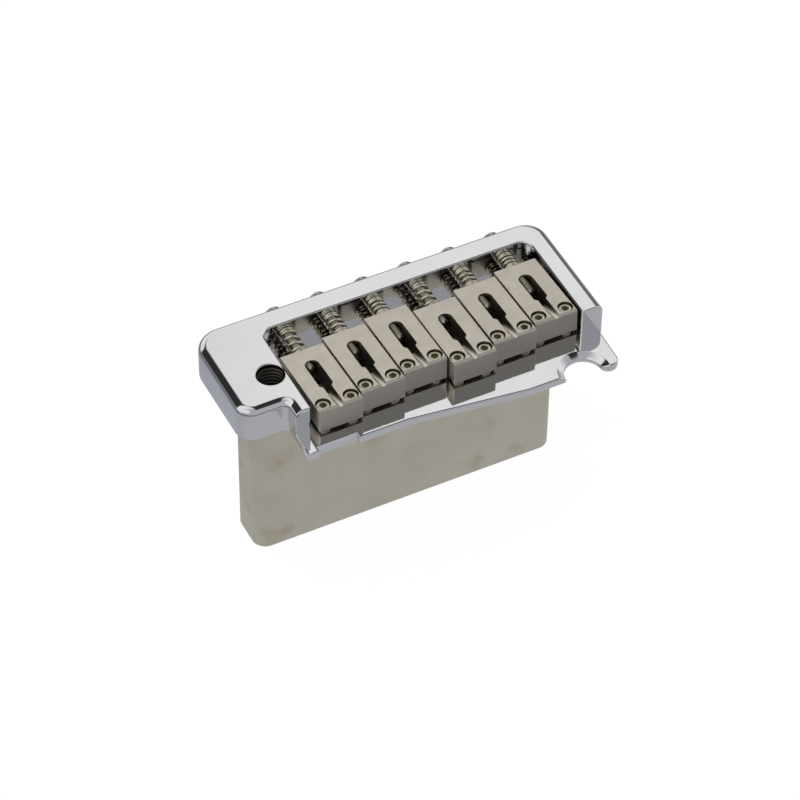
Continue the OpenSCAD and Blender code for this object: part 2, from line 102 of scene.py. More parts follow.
INTONATION_R = 1.22 * MM
INTONATION_THREAD = 0.45 * MM
INTONATION_THREAD_H = 0.25 * MM
HEAD_R = 2.05 * MM
HEAD_H = 1.6 * MM
HEAD_RIM = 0.6 * MM
RECESS_LENGTH = 2.5 * MM
RECESS_WIDTH = 0.55 * MM
RECESS_DEPTH = 0.8 * MM
SHANK_PLAIN = 2.6 * MM

SPRING_WIRE_R = 0.36 * MM
SPRING_R = 1.6 * MM
SPRING_TURNS = 5.5

PLATE_SCREW_R = 2.0 * MM
PLATE_THREAD = 0.7 * MM
PLATE_THREAD_H = 0.3 * MM
PLATE_HEAD_R = 3.6 * MM
PLATE_SOCKET = 2.5 * MM
PLATE_SOCKET_DEPTH = 1.3 * MM

ARM_HOLE_R = 3.1 * MM
ARM_MOUTH_R = 4 * MM
ARM_THREAD = 1.0 * MM
ARM_THREAD_DEPTH = 1.3 * MM
ARM_THREAD_LENGTH = 22 * MM


def centre_of(node):
    """Middle of a CAD node's box."""
    low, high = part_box(node)
    return (low + high) / 2


def reach_along(node, axis):
    """Least and greatest distance of a CAD node's points along an axis from the middle of its box."""
    middle = centre_of(node)
    places = [(v.co - middle).dot(axis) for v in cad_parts[node].data.vertices]
    return min(places), max(places)


# ---------------------------------------------------------------- materials
def shader(name):
    """A new material with its node tree and its Principled shader."""
    material = bpy.data.materials.new(name)
    material.use_nodes = True
    tree = material.node_tree
    return material, tree, tree.nodes["Principled BSDF"]


def add(tree, kind, **settings):
    """A new node with its settings."""
    node = tree.nodes.new(kind)
    for key, value in settings.items():
        setattr(node, key, value)
    return node


def fed(tree, node, *values):
    """The node with its first inputs fed in order, each by a socket or by a plain value."""
    for socket, value in zip(node.inputs, values):
        if isinstance(value, bpy.types.NodeSocket):
            tree.links.new(value, socket)
        else:
            socket.default_value = value
    return node


def maths(tree, operation, *values, clamp=False):
    """Result of a sum on numbers."""
    node = add(tree, "ShaderNodeMath", operation=operation, use_clamp=clamp)
    return fed(tree, node, *values).outputs["Value"]


def vector_maths(tree, operation, first, second):
    """Node for a sum on two vectors, with a vector and a number as its results."""
    return fed(tree, add(tree, "ShaderNodeVectorMath", operation=operation), first, second)


def eased(tree, value, low, high, first=0.0, last=1.0):
    """Number that eases from first to last as the value goes from low to high."""
    node = add(tree, "ShaderNodeMapRange", interpolation_type="SMOOTHSTEP")
    return fed(tree, node, value, low, high, first, last).outputs["Result"]


def object_noise(tree, scale, detail):
    """Noise in the piece's own place."""
    place = add(tree, "ShaderNodeTexCoord")
    noise = add(tree, "ShaderNodeTexNoise")
    noise.inputs["Scale"].default_value = scale
    noise.inputs["Detail"].default_value = detail
    tree.links.new(place.outputs["Object"], noise.inputs["Vector"])
    return noise.outputs["Fac"]


def ramp(tree, factor, stops):
    """Colour ramp through (place, colour) stops."""
    node = add(tree, "ShaderNodeValToRGB")
    elements = node.color_ramp.elements
    while len(elements) < len(stops):
        elements.new(0.5)
    for element, (place, colour) in zip(elements, stops):
        element.position = place
        element.color = (*colour, 1)
    tree.links.new(factor, node.inputs["Fac"])
    return node.outputs["Color"]


def spread(tree, factor, low, high):
    """Number from low to high as the factor goes from 0 to 1."""
    node = add(tree, "ShaderNodeMapRange")
    node.inputs["To Min"].default_value = low
    node.inputs["To Max"].default_value = high
    tree.links.new(factor, node.inputs["Value"])
    return node.outputs["Result"]


def mixed(tree, factor, first, second):
    """Colour between first and second by the factor; either may be a socket or a plain colour."""
    node = add(tree, "ShaderNodeMix", data_type="RGBA")
    for name, value in (("A", first), ("B", second)):
        socket = next(s for s in node.inputs if s.name == name and s.type == "RGBA")
        if isinstance(value, tuple):
            socket.default_value = (*value, 1)
        else:
            tree.links.new(value, socket)
    tree.links.new(factor, node.inputs["Factor"])
    return next(s for s in node.outputs if s.type == "RGBA")


def bump(tree, principled, height, distance):
    """Fine relief on a shader from a height."""
    node = add(tree, "ShaderNodeBump")
    node.inputs["Strength"].default_value = 1
    node.inputs["Distance"].default_value = distance
    tree.links.new(height, node.inputs["Height"])
    tree.links.new(node.outputs["Normal"], principled.inputs["Normal"])


def stains(tree, base, colour, scale, low, high, strength):
    """Blotches of a stain's colour where a broad noise is high."""
    where = eased(tree, object_noise(tree, scale, 5), low, high, last=strength)
    return mixed(tree, where, base, colour)


# Range of shelter over which the painted shade of the hollows sets in
SHELTERED = (0.22, 0.6)
# Range of facing over which the saddles' fronts get their painted shade
FRONT_FACING = (0.6, 0.95)
FRONTWARDS = Vector((0, -1, 0))


def shelter_shade_factor(tree):
    """How sheltered a spot is, sharpened so that open faces get none of the painted shade."""
    shelter = add(tree, "ShaderNodeAttribute", attribute_name="shelter")
    return eased(tree, shelter.outputs["Fac"], *SHELTERED)


def arm_hole_shade_factor(tree):
    """1 within the arm hole's reach of its axis and 0 beyond it: where the chrome gets the hole's painted
    shade.
    """
    place = add(tree, "ShaderNodeTexCoord").outputs["Object"]
    offset = vector_maths(tree, "SUBTRACT", place, (ARM.x, ARM.y, 0)).outputs["Vector"]
    level = vector_maths(tree, "MULTIPLY", offset, (1, 1, 0)).outputs["Vector"]
    distance = fed(tree, add(tree, "ShaderNodeVectorMath", operation="LENGTH"), level).outputs["Value"]
    return maths(tree, "LESS_THAN", distance, ARM_HOLE_R + 0.1 * MM)


def front_shade_factor(tree):
    """1 on the faces that look away from the tail, 0 on the others: where the saddles get their painted
    shade.
    """
    normal = add(tree, "ShaderNodeTexCoord").outputs["Normal"]
    return eased(tree, vector_maths(tree, "DOT_PRODUCT", normal, FRONTWARDS).outputs["Value"], *FRONT_FACING)


def metal(name, tones, rough, tone_scale, grain_scale, grain_depth, stain=None, dark=None, front=None):
    """Metal whose tone drifts between two colours, with its gloss and a fine grain broken up by noise.

    stain: blotches as the arguments of stains(). dark: painted shade in hidden places, as (factor function,
    colour, roughness).
    front: painted shade on the front faces, as their darker colour.
    """
    material, tree, principled = shader(name)
    principled.inputs["Metallic"].default_value = 1
    drift = object_noise(tree, tone_scale, 4)
    colour = ramp(tree, drift, [(0.3, tones[0]), (0.7, tones[1])])
    if stain:
        colour = stains(tree, colour, *stain)
    if front:
        colour = mixed(tree, front_shade_factor(tree), colour, front)
    grain = object_noise(tree, grain_scale, 6)
    gloss = spread(tree, grain, *rough)
    if dark:
        where = dark[0](tree)
        colour = mixed(tree, where, colour, dark[1])
        dull = add(tree, "ShaderNodeMix", data_type="FLOAT")
        tree.links.new(where, dull.inputs["Factor"])
        tree.links.new(gloss, dull.inputs["A"])
        dull.inputs["B"].default_value = dark[2]
        gloss = dull.outputs["Result"]
    tree.links.new(colour, principled.inputs["Base Color"])
    tree.links.new(gloss, principled.inputs["Roughness"])
    bump(tree, principled, grain, grain_depth)
    return material


CHROME_TONES = ((0.685, 0.687, 0.69), (0.72, 0.72, 0.72))
BLOCK_TONES = ((0.63, 0.585, 0.475), (0.695, 0.65, 0.54))
BLOCK_STAIN = ((0.47, 0.38, 0.24), 120, 0.58, 0.74, 0.5)
SADDLE_TONES = ((0.665, 0.61, 0.52), (0.745, 0.69, 0.60))
# Painted shade: the saddles' front faces darker than the rest
SADDLE_FRONT_PAINTED_SHADE = (0.46, 0.43, 0.375)
SCREW_TONES = ((0.50, 0.46, 0.36), (0.64, 0.60, 0.49))
SPRING_TONES = ((0.56, 0.51, 0.41), (0.70, 0.65, 0.54))
# Painted shade: the arm hole's thread near black, for the shade deep in the hole
HOLE_PAINTED_SHADE_TONES = ((0.05, 0.044, 0.036), (0.085, 0.076, 0.062))
# Painted shade in the saddles' slot, groove and holes
HOLLOW_PAINTED_SHADE = (0.13, 0.112, 0.085)
# Painted shade on the arm hole's wall
ARM_HOLE_PAINTED_SHADE = (0.10, 0.088, 0.07)

# Chrome with a painted shade inside the arm hole
chrome = metal("chrome", CHROME_TONES, (0.03, 0.07), 60, 900, 0.0002 * MM,
               dark=(arm_hole_shade_factor, ARM_HOLE_PAINTED_SHADE, 0.4))
block_nickel = metal("block_nickel", BLOCK_TONES, (0.34, 0.44), 90, 2500, 0.001 * MM, stain=BLOCK_STAIN)
# Saddle nickel with painted shade in its hollows and on its front faces
saddle_nickel = metal("saddle_nickel", SADDLE_TONES, (0.36, 0.46), 300, 5200, 0.004 * MM, front=SADDLE_FRONT_PAINTED_SHADE,
                      dark=(shelter_shade_factor, HOLLOW_PAINTED_SHADE, 0.5))
screw_steel = metal("screw_steel", SCREW_TONES, (0.26, 0.38), 400, 4000, 0.002 * MM)
spring_steel = metal("spring_steel", SPRING_TONES, (0.2, 0.32), 400, 4000, 0.002 * MM)
hole_painted_shade = metal("hole_painted_shade", HOLE_PAINTED_SHADE_TONES, (0.35, 0.5), 400, 4000, 0.002 * MM)


# ---------------------------------------------------------------- mesh helpers
# Angles between two faces: below FLAT_FOLD they are joined as one flat face, above SHARP_FOLD their edge is
# rounded. Turned pieces are shaded as one surface up to SMOOTH_FOLD, rounded ones up to STEEP_FOLD.
FLAT_FOLD = math.radians(0.3)
SHARP_FOLD = math.radians(28)
SMOOTH_FOLD = math.radians(35)
STEEP_FOLD = math.radians(50)
JOIN_REACH = 0.002 * MM
SLACK = 0.02 * MM


def placed(name, mesh, slot, material, *nodes):
    """Puts a mesh in the scene as a piece that stands for CAD nodes and rides on nothing yet."""
    piece = bpy.data.objects.new(name, mesh)
    scene.collection.objects.link(piece)
    mesh.materials.clear()
    mesh.materials.append(material)
    if nodes:
        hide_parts(*nodes)
    return piece


def finished(name, mesh, body, slot, material, *nodes):
    """The same for a piece that rides on one body."""
    piece = placed(name, mesh, slot, material, *nodes)
    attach(piece, body)
    return piece


def joined_copy(node):
    """Copy of a CAD node's mesh with its loose triangles joined and its flat faces made whole."""
    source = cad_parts[node].data
    mesh = bpy.data.meshes.new(node + "_joined")
    mesh.from_pydata([v.co[:] for v in source.vertices], [], [p.vertices[:] for p in source.polygons])
    made = bmesh.new()
    made.from_mesh(mesh)
    bmesh.ops.remove_doubles(made, verts=made.verts, dist=JOIN_REACH)
    bmesh.ops.dissolve_limit(made, angle_limit=FLAT_FOLD, verts=made.verts, edges=made.edges)
    made.to_mesh(mesh)
    made.free()
    return mesh


def evaluated(holder):
    """Plain mesh of an object with its modifiers; the object is removed."""
    graph = bpy.context.evaluated_depsgraph_get()
    result = bpy.data.meshes.new_from_object(holder.evaluated_get(graph))
    bpy.data.objects.remove(holder)
    return result


def rounded(mesh, width_of, segments=3):
    """The mesh with its sharp outward edges rounded, each by the width that width_of gives for it."""
    made = bmesh.new()
    made.from_mesh(mesh)
    bmesh.ops.recalc_face_normals(made, faces=made.faces)
    weights = made.edges.layers.float.new("bevel_weight_edge")
    widths = {}
    for edge in made.edges:
        if len(edge.link_faces) == 2 and edge.is_convex and edge.calc_face_angle() > SHARP_FOLD:
            widths[edge] = width_of(edge)
    widest = max(widths.values())
    for edge, width in widths.items():
        edge[weights] = width / widest
    for face in made.faces:
        face.smooth = True
    made.to_mesh(mesh)
    made.free()
    holder = bpy.data.objects.new("rounding", mesh)
    scene.collection.objects.link(holder)
    rounding = holder.modifiers.new("rounding", "BEVEL")
    rounding.width = widest
    rounding.segments = segments
    rounding.limit_method = "WEIGHT"
    rounding.miter_outer = "MITER_ARC"
    rounding.use_clamp_overlap = False
    return face_weighted(evaluated(holder))


def face_weighted(mesh):
    """The mesh with each wide face's normal kept right up to its edges; steep folds stay crisp."""
    made = bmesh.new()
    made.from_mesh(mesh)
    for edge in made.edges:
        edge.smooth = len(edge.link_faces) == 2 and edge.calc_face_angle() < STEEP_FOLD
    made.to_mesh(mesh)
    made.free()
    holder = bpy.data.objects.new("weighting", mesh)
    scene.collection.objects.link(holder)
    normals = holder.modifiers.new("normals", "WEIGHTED_NORMAL")
    normals.weight = 100
    normals.keep_sharp = True
    return evaluated(holder)


def within(value, limits):
    """Whether a value lies between two limits."""
    return limits[0] < value < limits[1]


def near_circle(spots, centre, radii):
    """Whether all the spots lie on one of the circles about a centre, seen from above."""
    reaches = [(spot.to_2d() - centre).length for spot in spots]
    return any(all(abs(reach - radius) < 0.05 * MM for reach in reaches) for radius in radii)


def frame_edge_width(edge):
    """Rounding of the frame's sharp edges: narrow at the pivots, none at the holes."""
    spots = [v.co for v in edge.verts]
    top = max(spot.z for spot in spots)
    if max((spot.to_2d() - ARM).length for spot in spots) < ARM_MOUTH_R:
        return 0
    if top < FRAME_LOW.z + SLACK:
        over_block = all(abs(spot.x) < BLOCK_HALF_WIDTH and within(spot.y, BLOCK_Y) for spot in spots)
        return 0 if over_block else UNDERSIDE_EDGE
    if top < FRAME_LOW.z + PLATE_T + SLACK:
        at_knife = all(
            abs(spot.x - TREBLE_PIVOT.x) < KNIFE_HALF_WIDTH and within(spot.y, KNIFE_Y) for spot in spots)
        if at_knife or near_circle(spots, BASS_PIVOT, NOTCH_RADII):
            return PIVOT_EDGE
        in_bay = all(abs(spot.x) < BAY_HALF_WIDTH and spot.y > WALL_FRONT_Y for spot in spots)
        return 0 if in_bay else PLATE_EDGE
    if all(abs(spot.y - WALL_FRONT_Y) < SLACK for spot in spots):
        inner_side = abs((spots[0].x + spots[1].x) / 2 - BAY_MIDDLE_X) < BAY_HALF_WIDTH + 0.1 * MM
        upright = abs(spots[0].z - spots[1].z) > 1 * MM
        return WALL_INNER_EDGE if upright and inner_side else WALL_EDGE
    return BAY_EDGE if all(spot.z > FRAME_HIGH.z - SLACK for spot in spots) else 0


def saddle_edge_width(edge):
    """Rounding of a saddle's sharp edges: its outline, not the slot, the groove and the holes."""
    return SADDLE_EDGE if edge.calc_length() > SADDLE_SHORT_EDGE else 0


def turned(profile, sides):
    """Solid of revolution about Z through (radius, height) points; a radius of 0 closes it at a pole."""
    made = bmesh.new()
    rings = []
    for radius, height in profile:
        if radius == 0:
            rings.append([made.verts.new((0, 0, height))])
        else:
            angles = [2 * math.pi * k / sides for k in range(sides)]
            points = [(radius * math.cos(a), radius * math.sin(a), height) for a in angles]
            rings.append([made.verts.new(point) for point in points])
    for low, high in zip(rings, rings[1:]):
        for k in range(sides):
            after = (k + 1) % sides
            if len(low) == 1:
                made.faces.new((low[0], high[after], high[k]))
            elif len(high) == 1:
                made.faces.new((low[k], low[after], high[0]))
            else:
                made.faces.new((low[k], low[after], high[after], high[k]))
    return made, rings


def hexagon_points(flats, sides, height):
    """Points round a hexagon, as many as a ring's, each at the ring's own angle."""
    points = []
    for k in range(sides):
        angle = 2 * math.pi * k / sides
        from_flat = (angle % (math.pi / 3)) - math.pi / 6
        radius = flats / 2 / math.cos(from_flat)
        points.append((radius * math.cos(angle), radius * math.sin(angle), height))
    return points


def socket(made, rim, flats, mouth, depth, top):
    """Hexagon socket with a rounded mouth, sunk from a ring of the top face."""
    sides = len(rim)
    rings = [rim]
    for width, height in ((flats + 2 * mouth, top), (flats + 0.6 * mouth, top - 0.3 * mouth),
                          (flats, top - mouth), (flats, top - depth)):
        rings.append([made.verts.new(p) for p in hexagon_points(width, sides, height)])
    for outer, inner in zip(rings, rings[1:]):
        for k in range(sides):
            after = (k + 1) % sides
            made.faces.new((outer[k], outer[after], inner[after], inner[k]))
    floor = made.verts.new((0, 0, top - depth - 0.3 * flats))
    for k in range(sides):
        made.faces.new((rings[-1][k], rings[-1][(k + 1) % sides], floor))


def as_mesh(made, name):
    """Plain mesh with outward normals, smooth but for its sharp edges."""
    bmesh.ops.recalc_face_normals(made, faces=made.faces)
    for face in made.faces:
        face.smooth = True
    for edge in made.edges:
        if len(edge.link_faces) == 2 and edge.calc_face_angle() > SMOOTH_FOLD:
            edge.smooth = False
    mesh = bpy.data.meshes.new(name)
    made.to_mesh(mesh)
    made.free()
    return mesh


def stood(mesh, place, axis):
    """Turns a mesh built along Z so that it runs along an axis, and moves it to its place."""
    turn = Vector((0, 0, 1)).rotation_difference(axis).to_matrix().to_4x4()
    mesh.transform(Matrix.Translation(place) @ turn)
    return mesh


def merged(name, *meshes):
    """One mesh of several."""
    made = bmesh.new()
    for mesh in meshes:
        made.from_mesh(mesh)
    result = bpy.data.meshes.new(name)
    made.to_mesh(result)
    made.free()
    return result


GOLDEN_ANGLE = 2.399963


def sheltered(mesh, reach=8 * MM, rays=24):
    """Writes on each face corner how much of the open air the piece itself hides from it, from 0 to 1; the
    saddles' painted shade is read from it.
    """
    made = bmesh.new()
    made.from_mesh(mesh)
    surface = BVHTree.FromBMesh(made)
    made.free()
    shelter = mesh.attributes.new("shelter", "FLOAT", "CORNER")
    for face in mesh.polygons:
        across = face.normal.orthogonal().normalized()
        along = face.normal.cross(across)
        aims = []
        for k in range(rays):
            rise = math.sqrt((k + 0.5) / rays)
            turn = GOLDEN_ANGLE * k
            side = math.sqrt(1 - rise * rise)
            sideways = across * math.cos(turn) + along * math.sin(turn)
            aims.append(face.normal * rise + sideways * side)
        for corner in face.loop_indices:
            spot = mesh.vertices[mesh.loops[corner].vertex_index].co.lerp(face.center, 0.08)
            spot = spot + face.normal * 0.03 * MM
            blocked = sum(surface.ray_cast(spot, aim, reach)[0] is not None for aim in aims)
            shelter.data[corner].value = blocked / rays
    return mesh


# ---------------------------------------------------------------- windings: springs and threads
def winding_tree():
    """Geometry nodes for a wire wound along Z, with inputs for its sizes, turns and closed ends."""
    tree = bpy.data.node_groups.new("winding", "GeometryNodeTree")
    face = tree.interface
    face.new_socket("Geometry", in_out="OUTPUT", socket_type="NodeSocketGeometry")
    for name, kind, value in (
        ("Radius", "NodeSocketFloat", 0.002),
        ("Length", "NodeSocketFloat", 0.01),
        ("Turns", "NodeSocketFloat", 5.0),
        ("Wire Radius", "NodeSocketFloat", 0.0002),
        ("Wire Sides", "NodeSocketInt", 10),
        ("Closed Ends", "NodeSocketFloat", 0.0),
        ("Steps", "NodeSocketInt", 32),
    ):
        face.new_socket(name, in_out="INPUT", socket_type=kind).default_value = value
    face.new_socket("Material", in_out="INPUT", socket_type="NodeSocketMaterial")
    given = add(tree, "NodeGroupInput")
    result = add(tree, "NodeGroupOutput")
    spiral = add(tree, "GeometryNodeCurveSpiral")
    tree.links.new(given.outputs["Steps"], spiral.inputs["Resolution"])
    tree.links.new(given.outputs["Turns"], spiral.inputs["Rotations"])
    tree.links.new(given.outputs["Radius"], spiral.inputs["Start Radius"])
    tree.links.new(given.outputs["Radius"], spiral.inputs["End Radius"])
    tree.links.new(given.outputs["Length"], spiral.inputs["Height"])

    # Closed ends: the coil climbs slowly at both ends, by a curve of its height
    place = add(tree, "GeometryNodeInputPosition")
    parts = add(tree, "ShaderNodeSeparateXYZ")
    share = add(tree, "ShaderNodeMath", operation="DIVIDE")
    closing = add(tree, "ShaderNodeFloatCurve")
    line = closing.mapping.curves[0]
    line.points[0].location = (0, 0)
    line.points[1].location = (1, 1)
    for spot in ((0.14, 0.045), (0.5, 0.5), (0.86, 0.955)):
        line.points.new(*spot)
    closing.mapping.update()
    height = add(tree, "ShaderNodeMath", operation="MULTIPLY")
    back = add(tree, "ShaderNodeCombineXYZ")
    settle = add(tree, "GeometryNodeSetPosition")
    tree.links.new(place.outputs[0], parts.inputs[0])
    tree.links.new(parts.outputs["Z"], share.inputs[0])
    tree.links.new(given.outputs["Length"], share.inputs[1])
    tree.links.new(share.outputs[0], closing.inputs["Value"])
    tree.links.new(given.outputs["Closed Ends"], closing.inputs["Factor"])
    tree.links.new(closing.outputs[0], height.inputs[0])
    tree.links.new(given.outputs["Length"], height.inputs[1])
    tree.links.new(parts.outputs["X"], back.inputs["X"])
    tree.links.new(parts.outputs["Y"], back.inputs["Y"])
    tree.links.new(height.outputs[0], back.inputs["Z"])
    tree.links.new(spiral.outputs[0], settle.inputs["Geometry"])
    tree.links.new(back.outputs[0], settle.inputs["Position"])

    upright = add(tree, "GeometryNodeSetCurveNormal")
    upright.mode = "Z_UP"
    wire = add(tree, "GeometryNodeCurvePrimitiveCircle")
    sweep = add(tree, "GeometryNodeCurveToMesh")
    sweep.inputs["Fill Caps"].default_value = True
    whole = add(tree, "GeometryNodeRealizeInstances")
    paint = add(tree, "GeometryNodeSetMaterial")
    tree.links.new(settle.outputs[0], upright.inputs[0])
    tree.links.new(given.outputs["Wire Sides"], wire.inputs["Resolution"])
    tree.links.new(given.outputs["Wire Radius"], wire.inputs["Radius"])
    tree.links.new(upright.outputs[0], sweep.inputs["Curve"])
    tree.links.new(wire.outputs[0], sweep.inputs["Profile Curve"])
    tree.links.new(sweep.outputs[0], whole.inputs[0])
    tree.links.new(whole.outputs[0], paint.inputs["Geometry"])
    tree.links.new(given.outputs["Material"], paint.inputs["Material"])
    tree.links.new(paint.outputs[0], result.inputs[0])
    return tree


WINDING = winding_tree()


def wound(material, smooth=True, **values):
    """Plain mesh of a winding along Z from 0, with the tree's inputs set by name."""
    seed = bpy.data.meshes.new("winding_seed")
    holder = bpy.data.objects.new("winding_holder", seed)
    scene.collection.objects.link(holder)
    modifier = holder.modifiers.new("winding", "NODES")
    modifier.node_group = WINDING
    keys = {item.name: item.identifier for item in WINDING.interface.items_tree if item.in_out == "INPUT"}
    for name, value in values.items():
        modifier[keys[name.replace("_", " ").title()]] = value
    modifier[keys["Material"]] = material
    mesh = evaluated(holder)
    made = bmesh.new()
    made.from_mesh(mesh)
    bmesh.ops.recalc_face_normals(made, faces=made.faces)
    for face in made.faces:
        face.smooth = smooth
    made.to_mesh(mesh)
    made.free()
    return mesh


THREAD_SIDES = 4
RIDGE_SHARE = 0.62


def thread(material, radius, pitch, length):
    """Ridge of a screw thread, out to the radius, with its length along Z from 0."""
    wide = RIDGE_SHARE * pitch
    ridge = wound(material, smooth=False, radius=radius - wide / 2 - 0.01 * MM, length=length - wide,
                  turns=(length - wide) / pitch, wire_radius=wide / 2, wire_sides=THREAD_SIDES,
                  closed_ends=0.0, steps=28)
    ridge.transform(Matrix.Translation((0, 0, wide / 2)))
    return ridge


# ---------------------------------------------------------------- frame, block and saddles
casting = rounded(joined_copy("bridge_frame"), frame_edge_width, 4)
finished("frame_casting", casting, "bridge", "chrome", chrome, "bridge_frame")
block = rounded(joined_copy("sustain_block"), lambda edge: BLOCK_EDGE)
finished("block", block, "bridge", "block_nickel", block_nickel, "sustain_block")
for n in range(1, STRINGS + 1):
    saddle = sheltered(rounded(joined_copy(f"saddle_{n}"), saddle_edge_width, 2))
    finished(f"saddle_block_{n}", saddle, f"saddle_{n}", "saddle_nickel", saddle_nickel, f"saddle_{n}")


# ---------------------------------------------------------------- screws
def height_screw(node):
    """Socket set screw: threaded all along, with a chamfered top and a hexagon socket."""
    low, high = reach_along(node, UPRIGHT)
    length = high - low
    sides = 48
    core = HEIGHT_SCREW_R - HEIGHT_THREAD_H
    neck = length - HEIGHT_COLLAR_H
    profile = [(0, 0), (core - 0.3 * MM, 0), (core, 0.3 * MM), (core, neck - 0.2 * MM),
               (HEIGHT_COLLAR_R, neck), (HEIGHT_COLLAR_R, length - 0.3 * MM),
               (HEIGHT_COLLAR_R - 0.06 * MM, length - 0.13 * MM),
               (HEIGHT_COLLAR_R - 0.2 * MM, length - 0.03 * MM),
               (HEIGHT_COLLAR_R - 0.36 * MM, length), (HEIGHT_COLLAR_R - 0.5 * MM, length)]
    made, rings = turned(profile, sides)
    socket(made, rings[-1], HEIGHT_SOCKET, 0.1 * MM, HEIGHT_SOCKET_DEPTH, length)
    body = as_mesh(made, node + "_core")
    ridge = thread(screw_steel, HEIGHT_SCREW_R, HEIGHT_THREAD, neck)
    ridge.transform(Matrix.Translation((0, 0, 0.12 * MM)))
    return stood(merged(node + "_screw", body, ridge), centre_of(node) + low * UPRIGHT, UPRIGHT)


def cross_recess(size, width, depth, top):
    """Cutter for a cross recess: two tapered bars that meet at the axis."""
    made = bmesh.new()
    for turn in (0, math.pi / 2):
        corners = []
        for share, height in ((0.35, top - depth), (1.0, top + 0.5 * MM)):
            for x, y in ((-1, -1), (1, -1), (1, 1), (-1, 1)):
                point = Vector((x * size / 2 * share, y * width / 2 * (0.7 + 0.3 * share), height))
                point.rotate(Matrix.Rotation(turn, 3, "Z"))
                corners.append(made.verts.new(point))
        for face in ((3, 2, 1, 0), (4, 5, 6, 7), (0, 1, 5, 4), (1, 2, 6, 5), (2, 3, 7, 6), (3, 0, 4, 7)):
            made.faces.new([corners[k] for k in face])
    return as_mesh(made, "cross_cutter")


def carved(mesh, cutter):
    """The mesh with the cutter taken out of it."""
    holder = bpy.data.objects.new("carving", mesh)
    tool = bpy.data.objects.new("carving_tool", cutter)
    scene.collection.objects.link(holder)
    scene.collection.objects.link(tool)
    cut = holder.modifiers.new("cut", "BOOLEAN")
    cut.operation = "DIFFERENCE"
    cut.solver = "EXACT"
    cut.use_self = True
    cut.object = tool
    result = evaluated(holder)
    bpy.data.objects.remove(tool)
    return result


def intonation_screw(node):
    """Long screw with a domed cross-recess head; it is built from its tip towards its head."""
    low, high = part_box(node)
    middle = centre_of(node)
    length = high.y - low.y
    shank = length - HEAD_H
    core = INTONATION_R - INTONATION_THREAD_H
    dome_rise = HEAD_H - HEAD_RIM
    dome = [(HEAD_R * math.cos(math.radians(a)), shank + HEAD_RIM + dome_rise * math.sin(math.radians(a)))
            for a in (8, 20, 32, 44, 56, 68, 80)]
    profile = [(0, 0), (core - 0.45 * MM, 0), (core, 0.45 * MM), (core, shank - SHANK_PLAIN),
               (INTONATION_R - 0.02 * MM, shank - 2.4 * MM), (INTONATION_R - 0.02 * MM, shank),
               (HEAD_R - 0.12 * MM, shank), (HEAD_R, shank + 0.12 * MM), (HEAD_R, shank + HEAD_RIM),
               *dome, (0, length)]
    made, _ = turned(profile, 40)
    cutter = cross_recess(RECESS_LENGTH, RECESS_WIDTH, RECESS_DEPTH, length)
    body = carved(as_mesh(made, node + "_core"), cutter)
    ridge = thread(screw_steel, INTONATION_R, INTONATION_THREAD, shank - SHANK_PLAIN)
    ridge.transform(Matrix.Translation((0, 0, 0.2 * MM)))
    return stood(merged(node + "_screw", body, ridge), Vector((middle.x, low.y, middle.z)), BACKWARDS)


for n in range(1, STRINGS + 1):
    for side in ("treble", "bass"):
        node = f"height_screw_{n}_{side}"
        finished(node + "_piece", height_screw(node), node, "screw_steel", screw_steel, node)
    node = f"intonation_screw_{n}"
    finished(node + "_piece", intonation_screw(node), node, "screw_steel", screw_steel, node)


# ---------------------------------------------------------------- springs
def intonation_spring(node):
    """Compression spring with closed ends, from the saddle's rear face to the rim."""
    low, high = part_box(node)
    length = high.y - low.y
    coil = wound(spring_steel, radius=SPRING_R, length=length - 2 * SPRING_WIRE_R, turns=SPRING_TURNS,
                 wire_radius=SPRING_WIRE_R, wire_sides=12, closed_ends=1.0, steps=40)
    coil.transform(Matrix.Translation((0, 0, SPRING_WIRE_R)))
    middle = centre_of(f"intonation_screw_{node[-1]}")
    return stood(coil, Vector((middle.x, low.y, middle.z)), BACKWARDS)


for n in range(1, STRINGS + 1):
    node = f"intonation_spring_{n}"
    coil = placed(f"spring_coil_{n}", intonation_spring(node), "spring_steel", spring_steel, node)
    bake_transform(coil)


# ---------------------------------------------------------------- screws of the block, thread of the arm hole
def plate_screw(x, y, top, length):
    """Countersunk socket screw."""
    head = PLATE_HEAD_R - PLATE_SCREW_R
    core = PLATE_SCREW_R - PLATE_THREAD_H
    profile = [(0, 0), (core - 0.4 * MM, 0), (core, 0.4 * MM), (core, length - head - 0.6 * MM),
               (PLATE_SCREW_R, length - head - 0.3 * MM), (PLATE_SCREW_R, length - head),
               (PLATE_HEAD_R - 0.12 * MM, length - 0.1 * MM), (PLATE_HEAD_R - 0.2 * MM, length)]
    made, rings = turned(profile, 48)
    socket(made, rings[-1], PLATE_SOCKET, 0.15 * MM, PLATE_SOCKET_DEPTH, length)
    body = as_mesh(made, "plate_screw_core")
    ridge = thread(screw_steel, PLATE_SCREW_R, PLATE_THREAD, length - head - 0.6 * MM)
    return stood(merged("plate_screw", body, ridge), Vector((x, y, top - length)), Vector((0, 0, 1)))


def plate_screws(node):
    """The row of countersunk screws as one mesh."""
    low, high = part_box(node)
    first = low.x + PLATE_HEAD_R
    last = high.x - PLATE_HEAD_R
    y = (low.y + high.y) / 2
    return merged(node + "_screws", *[plate_screw(x, y, high.z, high.z - low.z)
                                      for x in (first, (first + last) / 2, last)])


finished("plate_screws", plate_screws("block_screws"), "bridge", "screw_steel", screw_steel, "block_screws")

